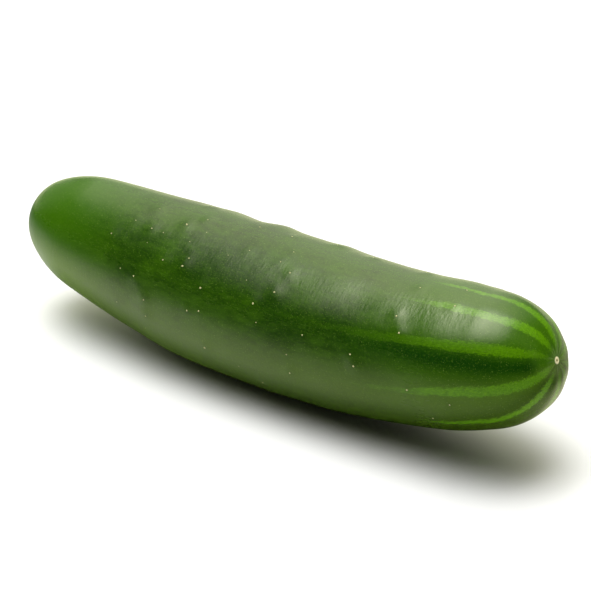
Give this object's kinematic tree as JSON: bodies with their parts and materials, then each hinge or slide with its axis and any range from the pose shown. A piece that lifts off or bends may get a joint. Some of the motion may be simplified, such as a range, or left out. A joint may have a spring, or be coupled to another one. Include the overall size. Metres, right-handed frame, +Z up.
{
  "type": "cucumber",
  "caption": "Whole slicing cucumber, gently bowed, with low warts, light stripes that gather at a corky blossom scar, and a hollowed stem end.",
  "frame": {"origin": "on the supporting surface, under the middle of the fruit's bounding box", "axes": "+X along the fruit towards the blossom end, +Z up, belly on z = 0"},
  "size_m": [0.2216, 0.056, 0.0588],
  "materials": {
    "skin": "waxy semi-gloss fruit skin, dark green with light green stripes and pale specks"
  },
  "bodies": {
    "root": {"cucumber": "skin"}
  },
  "joints": []
}
